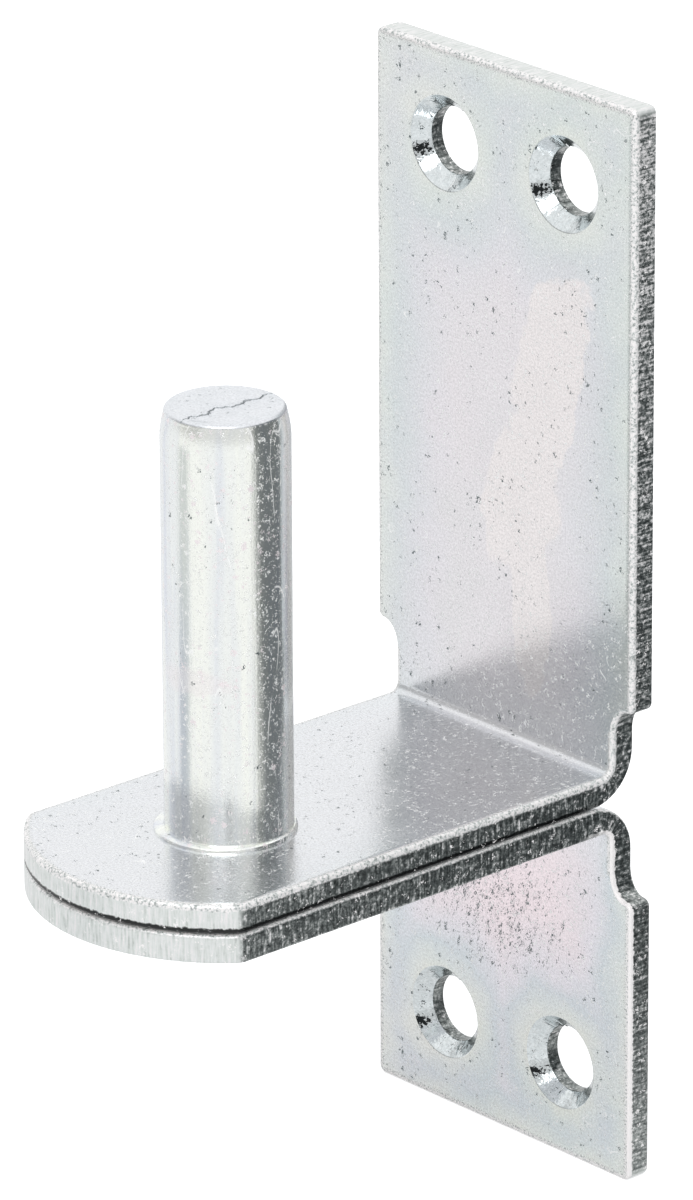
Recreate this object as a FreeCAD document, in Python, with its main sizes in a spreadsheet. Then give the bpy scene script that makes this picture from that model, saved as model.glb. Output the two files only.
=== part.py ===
"""Gate hinge pin on a screw-on double plate, as a parametric document in millimetres.

Frame: +Z is up along the pin, +Y points into the wall and +X is to the right as seen from the front.
The origin is the middle of the four screw holes, on the plane of the wall.
"""

import FreeCAD, Part
import os
import Sketcher

# Driving dimensions: alias, value in mm (or degrees) and what it measures
SIZES = [
    ("plate_thickness", 3.0, "sheet of both plates"),
    ("plate_height", 115.0, "top edge of the upper wing to bottom edge of the lower wing"),
    ("wing_width", 38.0, "width of both wings on the wall"),
    ("tongue_width", 32.4, "width of both tongues"),
    ("seat_depth", 71.0, "top edge of the upper wing down to the seat of the gate's eye"),
    ("shoulder_height", 7.2, "tongue face to the shoulder where the wing widens"),
    ("bend_inside", 1.5, "inside radius of both bends"),
    ("bend_outside", 5.5, "outside radius of both bends, where bending drew the sheet thin"),
    ("seam_gap", 0.2, "hairline left open between the two tongues"),
    ("pin_offset", 40.0, "wall to the axis of the pin"),
    ("nose_radius", 20.5, "round nose of the tongues, about the pin's axis"),
    ("hole_diameter", 7.0, "screw holes"),
    ("countersink_diameter", 10.0, "rim of the countersinks on the front"),
    ("countersink_angle", 90.0, "full angle of the countersinks, degrees"),
    ("hole_pitch", 17.5, "screw holes side by side"),
    ("hole_edge", 10.0, "screw holes to the end of their wing"),
    ("pin_diameter", 13.0, "bearing length of the pin"),
    ("pin_height", 44.5, "seat to the cropped end of the pin"),
    ("crop_length", 3.0, "length over which cropping drew the end of the bar in"),
    ("crop_inset", 0.4, "how far cropping drew the end of the bar in"),
    ("crop_edge", 0.4, "broken edge of the cropped end"),
    ("ring_width", 0.8, "upset ring beyond the pin's surface"),
    ("ring_height", 0.5, "upset ring above the seat, at the pin's surface"),
    ("ring_rim", 0.2, "upset ring above the seat, at its outer rim"),
    ("shank_diameter", 10.0, "riveted shank inside the tongues"),
    ("shank_clearance", 0.1, "rivet hole wider than the shank"),
    ("head_diameter", 15.0, "riveted head under the tongues"),
    ("head_height", 2.2, "riveted head below the lower tongue"),
    ("head_rim", 0.9, "straight rim of the riveted head"),
    ("head_face", 9.0, "flat that the hammer left on the riveted head"),
    ("corner_radius", 0.8, "corners of the punched outline"),
    ("roll_radius", 0.5, "edges drawn in on the side where the punch entered"),
]

# Cuts reach this many plate widths past what they remove
OVERCUT = 1.25

# Distances under this many millimetres count as the same place
TOLERANCE = 1e-4

X_AXIS = FreeCAD.Vector(1, 0, 0)
Y_AXIS = FreeCAD.Vector(0, 1, 0)
Z_AXIS = FreeCAD.Vector(0, 0, 1)

doc = FreeCAD.newDocument("GateHingePin")
sheet = doc.addObject("Spreadsheet::Sheet", "Sizes")
for row, (alias, value, meaning) in enumerate(SIZES, start=1):
    sheet.set(f"A{row}", alias)
    sheet.set(f"B{row}", str(value))
    sheet.set(f"C{row}", meaning)
    sheet.setAlias(f"B{row}", alias)
doc.recompute()

# Places worked out from the driving dimensions, as expressions on the sheet
TOP_Z = "(Sizes.plate_height / 2)"
BOTTOM_Z = "(-Sizes.plate_height / 2)"
SEAT_Z = f"({TOP_Z} - Sizes.seat_depth)"
UPPER_UNDERSIDE_Z = f"({SEAT_Z} - Sizes.plate_thickness)"
LOWER_TOP_Z = f"({UPPER_UNDERSIDE_Z} - Sizes.seam_gap)"
LOWER_UNDERSIDE_Z = f"({LOWER_TOP_Z} - Sizes.plate_thickness)"
FRONT_Y = "(-Sizes.plate_thickness)"
PIN_Y = "(-Sizes.pin_offset)"
NOSE_Y = f"({PIN_Y} - Sizes.nose_radius)"
HALF_WING = "(Sizes.wing_width / 2)"
HALF_TONGUE = "(Sizes.tongue_width / 2)"
SHOULDER_STEP = f"({HALF_WING} - {HALF_TONGUE})"
REACH = f"({OVERCUT} * Sizes.wing_width)"


def measure(expression):
    """Value of an expression on the sheet, in millimetres or degrees."""
    return float(sheet.evalExpression(expression))


def bind_distance(sketch, kind, geometry, end, expression):
    """Hold one coordinate of a point at an expression, measured from the sketch's origin."""
    value = measure(expression)
    if abs(value) < TOLERANCE:
        axis = -2 if kind == "DistanceX" else -1
        sketch.addConstraint(Sketcher.Constraint("PointOnObject", geometry, end, axis))
        return
    if value > 0:
        constraint = Sketcher.Constraint(kind, -1, 1, geometry, end, value)
        bound = expression
    else:
        constraint = Sketcher.Constraint(kind, geometry, end, -1, 1, -value)
        bound = f"-({expression})"
    index = sketch.addConstraint(constraint)
    sketch.setExpression(f"Constraints[{index}]", bound)


def new_sketch(body, name, plane_role, lift="0"):
    """Sketch on one of the body's own origin planes, lifted along the plane's normal."""
    plane = next(item for item in body.Origin.OriginFeatures if item.Role == plane_role)
    sketch = body.newObject("Sketcher::SketchObject", name)
    sketch.AttachmentSupport = [(plane, "")]
    sketch.MapMode = "FlatFace"
    sketch.setExpression("AttachmentOffset.Base.z", lift)
    doc.recompute()
    return sketch


def draw_loop(sketch, corners):
    """Closed outline through the corners.

    A corner is (x, y) or, where an arc leaves it for the next corner, (x, y, radius, side). The side
    is 1 where the arc's centre lies to the left of the way along the outline, and -1 on the right.
    """
    points = [FreeCAD.Vector(measure(corner[0]), measure(corner[1]), 0) for corner in corners]
    ends = []
    for number, corner in enumerate(corners):
        start = points[number]
        finish = points[(number + 1) % len(points)]
        if len(corner) == 2:
            geometry = sketch.addGeometry(Part.LineSegment(start, finish))
            ends.append((geometry, 1, 2))
        else:
            radius_expression, side = corner[2], corner[3]
            radius = measure(radius_expression)
            half_chord = (finish - start) * 0.5
            left = FreeCAD.Vector(-half_chord.y, half_chord.x, 0).normalize()
            height = max(radius ** 2 - half_chord.Length ** 2, 0.0) ** 0.5
            centre = start + half_chord + left * (side * height)
            crown = centre - left * (side * radius)
            geometry = sketch.addGeometry(Part.Arc(start, crown, finish))
            starts_here = sketch.getPoint(geometry, 1).distanceToPoint(start) < TOLERANCE
            ends.append((geometry, 1, 2) if starts_here else (geometry, 2, 1))
            index = sketch.addConstraint(Sketcher.Constraint("Radius", geometry, radius))
            sketch.setExpression(f"Constraints[{index}]", radius_expression)
    for number, corner in enumerate(corners):
        geometry, first, _ = ends[number]
        before, _, last = ends[number - 1]
        sketch.addConstraint(Sketcher.Constraint("Coincident", before, last, geometry, first))
        bind_distance(sketch, "DistanceX", geometry, first, corner[0])
        bind_distance(sketch, "DistanceY", geometry, first, corner[1])


def draw_circle(sketch, x, y, diameter):
    """Circle of a bound diameter about a bound point."""
    centre = FreeCAD.Vector(measure(x), measure(y), 0)
    circle = Part.Circle(centre, Z_AXIS, measure(diameter) / 2)
    geometry = sketch.addGeometry(circle)
    index = sketch.addConstraint(Sketcher.Constraint("Diameter", geometry, measure(diameter)))
    sketch.setExpression(f"Constraints[{index}]", diameter)
    bind_distance(sketch, "DistanceX", geometry, 3, x)
    bind_distance(sketch, "DistanceY", geometry, 3, y)


def cut_through(body, name, sketch):
    """Pocket both ways through the whole body, which has to remove something."""
    doc.recompute()
    volume = body.Shape.Volume
    pocket = body.newObject("PartDesign::Pocket", name)
    pocket.Profile = sketch
    pocket.Type = "ThroughAll"
    pocket.SideType = "Symmetric"
    doc.recompute()
    if body.Shape.Volume > volume - TOLERANCE:
        raise RuntimeError(f"{name} cuts nothing")


def round_edges(body, name, radius, wanted):
    """Fillet every edge of the body that the test picks."""
    doc.recompute()
    base = body.Tip
    names = [f"Edge{number}" for number, edge in enumerate(base.Shape.Edges, start=1) if wanted(edge)]
    fillet = body.newObject("PartDesign::Fillet", name)
    fillet.Base = (base, names)
    fillet.setExpression("Radius", radius)
    doc.recompute()


def along(edge, axis):
    """Whether an edge is straight and runs along an axis of the frame."""
    if not isinstance(edge.Curve, (Part.Line, Part.LineSegment)):
        return False
    return abs(abs(edge.Curve.Direction.dot(axis)) - 1) < TOLERANCE


def samples(edge):
    """Start, middle and end of an edge."""
    first, last = edge.ParameterRange
    return [edge.valueAt(parameter) for parameter in (first, (first + last) / 2, last)]


def is_corner(edge):
    """Whether an edge crosses the sheet at a corner of the punched outline."""
    centre = samples(edge)[1]
    at_wing_side = abs(abs(centre.x) - measure(HALF_WING)) < TOLERANCE
    beside_nose = centre.y < measure(PIN_Y)
    return (along(edge, Y_AXIS) and at_wing_side) or (along(edge, Z_AXIS) and beside_nose)


def bent_plate(label, direction, tongue_inner, wing_end, roll_inside):
    """One punched and bent plate.

    The direction is 1 where the wing stands up from its tongue and -1 where it hangs down. The inner
    side of the sheet is the front of the wing and the tongue's face inside the bend. The punch went
    in on the inner side of the sheet where roll_inside is true.
    """
    sign = f"({direction})"
    tongue_outer = f"({tongue_inner} - {sign} * Sizes.plate_thickness)"
    inside_y = f"({FRONT_Y} - Sizes.bend_inside)"
    inside_z = f"({tongue_inner} + {sign} * Sizes.bend_inside)"
    outside_y = "(-Sizes.bend_outside)"
    outside_z = f"({tongue_outer} + {sign} * Sizes.bend_outside)"
    shoulder_z = f"({tongue_inner} + {sign} * Sizes.shoulder_height)"
    hole_z = f"({wing_end} - {sign} * Sizes.hole_edge)"
    past_tongue_z = f"({tongue_outer} - {sign} * {REACH})"
    body = doc.addObject("PartDesign::Body", label)

    # Side profile of the bent sheet, across the full width of the wing
    profile = new_sketch(body, f"{label}_profile", "YZ_Plane")
    draw_loop(profile, [
        ("0", wing_end),
        ("0", outside_z, "Sizes.bend_outside", -direction),
        (outside_y, tongue_outer),
        (NOSE_Y, tongue_outer),
        (NOSE_Y, tongue_inner),
        (inside_y, tongue_inner, "Sizes.bend_inside", direction),
        (FRONT_Y, inside_z),
        (FRONT_Y, wing_end),
    ])
    pad = body.newObject("PartDesign::Pad", f"{label}_sheet")
    pad.Profile = profile
    pad.SideType = "Symmetric"
    pad.setExpression("Length", "Sizes.wing_width")

    # Shoulders: the sheet narrows to the tongue in a quarter round
    shoulders = new_sketch(body, f"{label}_shoulders", "XZ_Plane")
    for side in (1, -1):
        way = f"({side})"
        root_z = f"({shoulder_z} - {sign} * {SHOULDER_STEP})"
        draw_loop(shoulders, [
            (f"{way} * {HALF_WING}", shoulder_z, SHOULDER_STEP, side * direction),
            (f"{way} * {HALF_TONGUE}", root_z),
            (f"{way} * {HALF_TONGUE}", past_tongue_z),
            (f"{way} * {REACH}", past_tongue_z),
            (f"{way} * {REACH}", shoulder_z),
        ])
    cut_through(body, f"{label}_shoulder_cut", shoulders)

    # Nose: round about the axis of the pin
    nose = new_sketch(body, f"{label}_nose", "XY_Plane")
    cheek_y = f"({PIN_Y} - sqrt(Sizes.nose_radius ^ 2 - {HALF_TONGUE} ^ 2))"
    past_nose_y = f"({NOSE_Y} - {REACH})"
    draw_loop(nose, [
        (f"-{HALF_TONGUE}", cheek_y, "Sizes.nose_radius", 1),
        (HALF_TONGUE, cheek_y),
        (REACH, cheek_y),
        (REACH, past_nose_y),
        (f"-{REACH}", past_nose_y),
        (f"-{REACH}", cheek_y),
    ])
    cut_through(body, f"{label}_nose_cut", nose)

    # Corners of the punched outline, across the sheet: at the wing's sides and beside the nose
    round_edges(body, f"{label}_corners", "Sizes.corner_radius", is_corner)

    # Edges along the outline, rolled where the punch went in and sharp where it came out
    bend = (outside_y, outside_z, "Sizes.bend_outside")
    if roll_inside:
        bend = (inside_y, inside_z, "Sizes.bend_inside")
    bend_y, bend_z, bend_radius = [measure(expression) for expression in bend]

    def off_side(point):
        """How far a point lies from the punch's side of the sheet."""
        past_y = point.y - bend_y
        past_z = direction * (point.z - bend_z)
        if past_z >= 0:
            return past_y - bend_radius
        if past_y <= 0:
            return -past_z - bend_radius
        return (past_y ** 2 + past_z ** 2) ** 0.5 - bend_radius

    def is_rolled(edge):
        """Whether an edge of the outline lies on the punch's side of the sheet, and is no bend line."""
        centre = samples(edge)[1]
        at_bend = min(abs(centre.y - bend_y), abs(centre.z - bend_z)) < TOLERANCE
        if at_bend and along(edge, X_AXIS):
            return False
        return all(abs(off_side(point)) < TOLERANCE for point in samples(edge))

    round_edges(body, f"{label}_rolled_edges", "Sizes.roll_radius", is_rolled)

    # Screw holes, countersunk from the front of the wing
    spots = new_sketch(body, f"{label}_hole_spots", "XZ_Plane", "Sizes.plate_thickness")
    for side in (1, -1):
        draw_circle(spots, f"({side}) * Sizes.hole_pitch / 2", hole_z, "Sizes.hole_diameter")
    doc.recompute()
    holes = body.newObject("PartDesign::Hole", f"{label}_screw_holes")
    holes.Profile = spots
    holes.DepthType = "ThroughAll"
    holes.HoleCutType = "Countersink"
    holes.HoleCutCustomValues = True
    holes.setExpression("Diameter", "Sizes.hole_diameter")
    holes.setExpression("HoleCutDiameter", "Sizes.countersink_diameter")
    holes.setExpression("HoleCutCountersinkAngle", "Sizes.countersink_angle")

    # Rivet hole for the pin's shank
    rivet = new_sketch(body, f"{label}_rivet_spot", "XY_Plane")
    draw_circle(rivet, "0", PIN_Y, "Sizes.shank_diameter + Sizes.shank_clearance")
    cut_through(body, f"{label}_rivet_hole", rivet)
    return body


def riveted_pin(label):
    """Cropped round bar with an upset ring on the seat, a shank and a riveted head, seat at height 0."""
    stack = f"({SEAT_Z} - {LOWER_UNDERSIDE_Z})"
    head_reach = "(Sizes.head_diameter / 2)"
    face_reach = "(Sizes.head_face / 2)"
    shank_reach = "(Sizes.shank_diameter / 2)"
    pin_reach = "(Sizes.pin_diameter / 2)"
    ring_reach = f"({pin_reach} + Sizes.ring_width)"
    end_reach = f"({pin_reach} - Sizes.crop_inset)"
    body = doc.addObject("PartDesign::Body", label)
    body.setExpression("Placement.Base.y", PIN_Y)
    body.setExpression("Placement.Base.z", SEAT_Z)

    # Half section, turned about the axis of the pin
    section = new_sketch(body, f"{label}_section", "XZ_Plane")
    draw_loop(section, [
        ("0", f"-{stack} - Sizes.head_height"),
        (face_reach, f"-{stack} - Sizes.head_height"),
        (head_reach, f"-{stack} - Sizes.head_rim"),
        (head_reach, f"-{stack}"),
        (shank_reach, f"-{stack}"),
        (shank_reach, "0"),
        (ring_reach, "0"),
        (ring_reach, "Sizes.ring_rim"),
        (pin_reach, "Sizes.ring_height"),
        (pin_reach, "Sizes.pin_height - Sizes.crop_length"),
        (end_reach, "Sizes.pin_height - Sizes.crop_edge"),
        (f"{end_reach} - Sizes.crop_edge", "Sizes.pin_height"),
        ("0", "Sizes.pin_height"),
    ])
    turned = body.newObject("PartDesign::Revolution", f"{label}_bar")
    turned.Profile = section
    turned.ReferenceAxis = (section, ["V_Axis"])
    return body


upper_plate = bent_plate("upper_plate", 1, SEAT_Z, TOP_Z, roll_inside=True)
lower_plate = bent_plate("lower_plate", -1, LOWER_UNDERSIDE_Z, BOTTOM_Z, roll_inside=False)
hinge_pin = riveted_pin("hinge_pin")
doc.recompute()

for item in doc.Objects:
    if "Invalid" in item.State or "Error" in item.State:
        raise RuntimeError(f"{item.Name} failed: {item.State}")

os.makedirs("parts", exist_ok=True)
for part in (upper_plate, lower_plate, hinge_pin):
    if part.Shape.isNull() or not part.Shape.isValid():
        raise RuntimeError(f"{part.Label} has no valid shape")
    if len(part.Shape.Solids) != 1:
        raise RuntimeError(f"{part.Label} is not one solid")
    part.Shape.exportStep(f"parts/{part.Label}.step")
    print(part.Label, round(part.Shape.Volume, 1), part.Shape.BoundBox)
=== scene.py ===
"""Looks of a gate hinge pin: a zinc-plated bar riveted through the tongues of two folded steel plates."""

import logging
import math
from dataclasses import dataclass, replace
from enum import Enum
from typing import Any, Callable

import bmesh
import bpy
from bpy.types import Material, Mesh, Node, NodeSocket, NodeTree, Object
from mathutils import Matrix, Vector, noise


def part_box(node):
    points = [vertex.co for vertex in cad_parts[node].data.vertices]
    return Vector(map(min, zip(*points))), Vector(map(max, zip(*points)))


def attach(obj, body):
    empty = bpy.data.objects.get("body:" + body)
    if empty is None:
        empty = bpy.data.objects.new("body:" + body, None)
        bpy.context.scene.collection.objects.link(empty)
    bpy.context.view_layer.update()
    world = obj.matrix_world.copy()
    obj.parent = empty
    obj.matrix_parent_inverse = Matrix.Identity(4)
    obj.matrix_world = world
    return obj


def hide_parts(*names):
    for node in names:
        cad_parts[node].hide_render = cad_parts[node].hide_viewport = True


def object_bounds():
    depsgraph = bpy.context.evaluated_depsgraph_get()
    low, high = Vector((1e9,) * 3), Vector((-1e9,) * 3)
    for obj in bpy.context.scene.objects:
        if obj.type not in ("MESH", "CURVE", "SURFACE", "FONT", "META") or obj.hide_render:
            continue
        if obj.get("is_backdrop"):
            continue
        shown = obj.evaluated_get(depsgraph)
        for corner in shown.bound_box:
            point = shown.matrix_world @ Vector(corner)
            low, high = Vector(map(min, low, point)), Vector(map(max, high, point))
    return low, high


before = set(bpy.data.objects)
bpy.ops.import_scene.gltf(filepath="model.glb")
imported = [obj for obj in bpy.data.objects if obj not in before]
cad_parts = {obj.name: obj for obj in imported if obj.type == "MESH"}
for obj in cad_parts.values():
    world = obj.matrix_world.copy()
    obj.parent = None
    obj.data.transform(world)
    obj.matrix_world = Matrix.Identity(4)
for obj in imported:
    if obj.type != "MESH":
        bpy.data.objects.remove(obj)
CAD_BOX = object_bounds()

# Lengths are in millimetres, unless a docstring or a factor of MM says metres.
LOG = logging.getLogger("gate_hinge_pin")
MM = 0.001
HAIR = 1.0e-4
CUT_SLACK = 1.0e-5
RING_SLACK = 0.01
MERGE = 0.002 * MM
DEEP = 1.0e3
BLANK = "blank"
COVER = "cover"
SHEAR = "shear"
BODY = "root"
RIGHT_ANGLE = math.radians(90.0)
HOLE_FACETS = 96
FLAT_WEIGHT = 90
SMOOTH = {"interpolation_type": "SMOOTHSTEP"}
TEXTURE = {"vector_type": "TEXTURE"}
COLOUR = {"data_type": "RGBA"}
CLAMPED_SUM = {"operation": "MULTIPLY_ADD", "use_clamp": True}

Source = Node | NodeSocket
Pair = tuple[float, float]
Triple = tuple[float, float, float]
Stops = tuple[tuple[float, str], ...]


class Turn(Enum):
    """Which way a plate's wing turns from its tongue."""

    UP = 1
    DOWN = -1


class Side(Enum):
    """The two sides of a folded plate: inner is the wing's front, outer is the wing's back."""

    INNER = "inner"
    OUTER = "outer"


class Finish(Enum):
    """Places of a plate's finishes in its list of materials."""

    SHEET = 0
    EDGE = 1
    SINK = 2
    BORE = 3


def to_linear(colour: str) -> tuple[float, float, float, float]:
    """Turns an sRGB hex colour into the linear values that sockets take.

    Args:
        colour: Six hex digits after a number sign.

    Returns:
        Red, green, blue and alpha.
    """
    levels = [int(colour[i : i + 2], 16) / 255.0 for i in (1, 3, 5)]
    linear = [c / 12.92 if c <= 0.04045 else ((c + 0.055) / 1.055) ** 2.4 for c in levels]
    return (linear[0], linear[1], linear[2], 1.0)


def quarter_turn(steps: int) -> list[Pair]:
    """Lists the sine and cosine at even steps through a right angle, both ends included."""
    angles = [RIGHT_ANGLE * k / steps for k in range(steps + 1)]
    return [(math.sin(angle), math.cos(angle)) for angle in angles]


@dataclass(frozen=True)
class Graph:
    """A node tree that is being filled, with the place on the piece that its finish works from."""

    tree: NodeTree
    material: Material | None = None
    place: Source | None = None

    @classmethod
    def start(cls, name: str) -> "Graph":
        """Makes an empty node material, named for the real surface.

        Args:
            name: What the real surface is.

        Returns:
            The graph of the material's cleared tree.
        """
        material = bpy.data.materials.new(name)
        material.use_nodes = True
        material.node_tree.nodes.clear()
        return cls(material.node_tree, material)

    @classmethod
    def on_blank(cls, name: str) -> "Graph":
        """Starts a material that works from the flat blank's own millimetres."""
        graph = cls.start(name)
        return replace(graph, place=graph.add("Attribute", attribute_name=BLANK).outputs["Vector"])

    @classmethod
    def on_bar(cls, name: str, axis: Pair) -> "Graph":
        """Starts a material that works from Object coordinates, in millimetres from a bar's axis.

        Args:
            name: What the real surface is.
            axis: Where the bar's axis stands, in millimetres.

        Returns:
            The graph of the material.
        """
        graph = cls.start(name)
        middle = (axis[0] * MM, axis[1] * MM, 0.0)
        moved = {"Vector": graph.add("TexCoord").outputs["Object"], "Location": middle}
        return replace(graph, place=graph.add("Mapping", {**moved, "Scale": (MM, MM, MM)}, **TEXTURE))

    def add(
        self,
        kind: str,
        inputs: dict[str, Any] | tuple[Any, ...] = (),
        stops: Stops = (),
        **settings: Any,
    ) -> Node:
        """Adds a node with its settings and links.

        Args:
            kind: Blender's identifier of the node, after its prefix.
            inputs: Values by input name, or in the order of the inputs that the settings leave in
                use. A value is a number, a hex colour, an output socket, or a node for its first
                output in use.
            stops: Places and hex colours of a colour ramp.
            settings: Properties of the node.

        Returns:
            The new node.
        """
        node = self.tree.nodes.new("ShaderNode" + kind)
        for key, value in settings.items():
            setattr(node, key, value)
        if isinstance(inputs, dict):
            pairs = [(node.inputs[name], value) for name, value in inputs.items()]
        else:
            pairs = list(zip((socket for socket in node.inputs if socket.enabled), inputs))
        for socket, value in pairs:
            if isinstance(value, Node):
                value = next(output for output in value.outputs if output.enabled)
            if isinstance(value, NodeSocket):
                self.tree.links.new(value, socket)
            else:
                socket.default_value = to_linear(value) if isinstance(value, str) else value
        if stops:
            ramp = node.color_ramp
            while len(ramp.elements) < len(stops):
                ramp.elements.new(1.0)
            for element, (place, colour) in zip(ramp.elements, stops):
                element.position = place
                element.color = to_linear(colour)
        return node

    def close(self, inputs: dict[str, Any]) -> Material:
        """Ends the tree in a metal shader.

        Args:
            inputs: Values or sources for the shader, which is metallic unless they say otherwise.

        Returns:
            The material.
        """
        shader = self.add("BsdfPrincipled", {"Metallic": 1.0, **inputs})
        self.add("OutputMaterial", {"Surface": shader})
        return self.material


@dataclass(frozen=True)
class PlatedGrain:
    """Grain, pits, flecks and hair scratches of handled zinc plate; sizes in millimetres.

    Real plate has a finer grain than this, which is drawn coarser so that it still shows.
    """

    grain: float = 0.24
    grain_height: float = 0.012
    grain_range: Pair = (0.36, 0.64)
    grain_tone: Pair = (0.89, 1.07)
    pit_spacing: float = 0.48
    pit_height: float = 0.02
    pit_share: float = 0.12
    fleck_spacing: float = 0.42
    fleck_height: float = 0.015
    fleck_share: float = 0.72
    spot_size: float = 0.34
    spot_core: float = 0.7
    shrink_least: float = 0.65
    shrink_spread: float = 1.5
    fray: float = 0.2
    fray_reach: float = 1.1
    cluster: float = 7.0
    cluster_range: Pair = (0.40, 0.72)
    cluster_shares: Pair = (0.2, 3.0)
    hair_field: float = 6.0
    hair_step: float = 0.06
    hair_width: float = 0.006
    hair_gap: float = 1.8
    hair_gate: float = 0.68
    gate_width: float = 0.05
    hair_stretch: float = 1.0

    def spots(self, graph: Graph, spacing: float, share: Source | float) -> Node:
        """Scatters small ragged spots of mixed size.

        Args:
            graph: Graph of the material.
            spacing: Mean distance between places for a spot.
            share: Part of those places that has one.

        Returns:
            The mask of the spots.
        """
        ragged = graph.add("TexNoise", {"Vector": graph.place, "Scale": 1.0 / self.fray})
        reach = (self.fray_reach, self.fray_reach, self.fray_reach)
        moved = graph.add(
            "VectorMath", (ragged.outputs["Color"], reach, graph.place), operation="MULTIPLY_ADD"
        )
        cells = graph.add("TexVoronoi", {"Vector": moved, "Scale": 1.0 / spacing})
        chance = graph.add("SeparateColor", (cells.outputs["Color"],))
        chosen = graph.add("Math", (chance.outputs["Red"], share), operation="LESS_THAN")
        shrink = graph.add(
            "Math",
            (chance.outputs["Green"], self.shrink_spread, self.shrink_least),
            operation="MULTIPLY_ADD",
        )
        away = graph.add("Math", (cells, shrink), operation="MULTIPLY")
        core = graph.add(
            "MapRange", (away, self.spot_core * self.spot_size, self.spot_size, 1.0, 0.0), **SMOOTH
        )
        return graph.add("Math", (chosen, core), operation="MULTIPLY")

    def clusters(self, graph: Graph, share: float) -> Node:
        """Gathers spots in loose clusters.

        Args:
            graph: Graph of the material.
            share: Middling share of places that has a spot.

        Returns:
            The share at each place.
        """
        gathered = graph.add("TexNoise", {"Vector": graph.place, "Scale": 1.0 / self.cluster})
        few, many = (part * share for part in self.cluster_shares)
        return graph.add("MapRange", (gathered, *self.cluster_range, few, many))

    def hairs(self, graph: Graph) -> Node:
        """Draws short curling hair scratches along the level lines of a noise field.

        Args:
            graph: Graph of the material.

        Returns:
            The mask of the scratches.
        """
        stretch = (1.0, 1.0, self.hair_stretch)
        drawn = graph.add("Mapping", {"Vector": graph.place, "Scale": stretch}, **TEXTURE)
        field = graph.add("TexNoise", {"Vector": drawn, "Scale": 1.0 / self.hair_field, "Detail": 1.5})
        level = graph.add("Math", (field, self.hair_step), operation="PINGPONG")
        line = graph.add("MapRange", (level, 0.0, self.hair_width, 1.0, 0.0))
        gate = graph.add("TexNoise", {"Vector": drawn, "Scale": 1.0 / self.hair_gap, "Detail": 0.0})
        opened = graph.add("MapRange", (gate, self.hair_gate, self.hair_gate + self.gate_width))
        return graph.add("Math", (line, opened), operation="MULTIPLY")

    def add(self, graph: Graph, ground: Source | None = None) -> "GrainNodes":
        """Adds the whole grain to a material.

        Args:
            graph: Graph of the material.
            ground: Normal of the surface under the grain, where it isn't the mesh's own.

        Returns:
            The nodes that a finish takes from the grain.
        """
        grain = graph.add("TexNoise", {"Vector": graph.place, "Scale": 1.0 / self.grain, "Roughness": 0.6})
        tone = graph.add("MapRange", (grain, *self.grain_range, *self.grain_tone))
        relief = {"Height": grain, "Distance": self.grain_height * MM}
        if ground is not None:
            relief["Normal"] = ground
        normal = graph.add("Bump", relief)
        pits = self.spots(graph, self.pit_spacing, self.clusters(graph, self.pit_share))
        flecks = self.spots(graph, self.fleck_spacing, self.fleck_share)
        hairs = self.hairs(graph)
        light = graph.add("Math", (flecks, hairs), operation="MAXIMUM")
        sunk = {"Height": pits, "Distance": self.pit_height * MM, "Normal": normal}
        pitted = graph.add("Bump", sunk, invert=True)
        proud = {"Height": flecks, "Distance": self.fleck_height * MM, "Normal": pitted}
        return GrainNodes(graph.add("Bump", proud), tone, pits, light)


@dataclass(frozen=True)
class GrainNodes:
    """What a finish takes from the grain: normal, tone, pits and light marks."""

    normal: Node
    tone: Node
    pits: Node
    light: Node
    dulling: float = 0.75

    def colour(self, graph: Graph, ground: Source, pit_tint: str, mark_tint: str) -> Node:
        """Lays the grain over a ground colour.

        Args:
            graph: Graph of the material.
            ground: Colour of the clean surface.
            pit_tint: Colour of the pits.
            mark_tint: Colour of flecks and hair scratches.

        Returns:
            The grained colour.
        """
        toned = graph.add("Mix", (1.0, ground, self.tone), **COLOUR, blend_type="MULTIPLY")
        pitted = graph.add("Mix", (self.pits, toned, pit_tint), **COLOUR)
        return graph.add("Mix", (self.light, pitted, mark_tint), **COLOUR)

    def metal(self, graph: Graph) -> Node:
        """Takes the gloss of metal off the light marks, which are zinc salt and bruised plate."""
        return graph.add("Math", (self.light, -self.dulling, 1.0), operation="MULTIPLY_ADD")


@dataclass(frozen=True)
class Patch:
    """A ragged oval on a surface, such as a dried stain; sizes in millimetres, lean in degrees."""

    centre: Triple
    half: Triple
    lean: float = 0.0
    fray: float = 1.2
    level: float = 1.6

    def add(self, graph: Graph, ragged: Source, soft: float) -> Node:
        """Adds the oval to a material.

        Args:
            graph: Graph of the material.
            ragged: Noise that breaks its border.
            soft: Width of the border as a share of the oval.

        Returns:
            The mask of the oval.
        """
        lean = (0.0, 0.0, math.radians(self.lean))
        placed = graph.add(
            "Mapping",
            {"Vector": graph.place, "Location": self.centre, "Rotation": lean, "Scale": self.half},
            **TEXTURE,
        )
        reach = graph.add("VectorMath", (placed,), operation="LENGTH")
        border = graph.add("Math", (ragged, self.fray, reach), operation="MULTIPLY_ADD")
        return graph.add("MapRange", (border, self.level - soft, self.level + soft, 1.0, 0.0), **SMOOTH)


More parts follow.
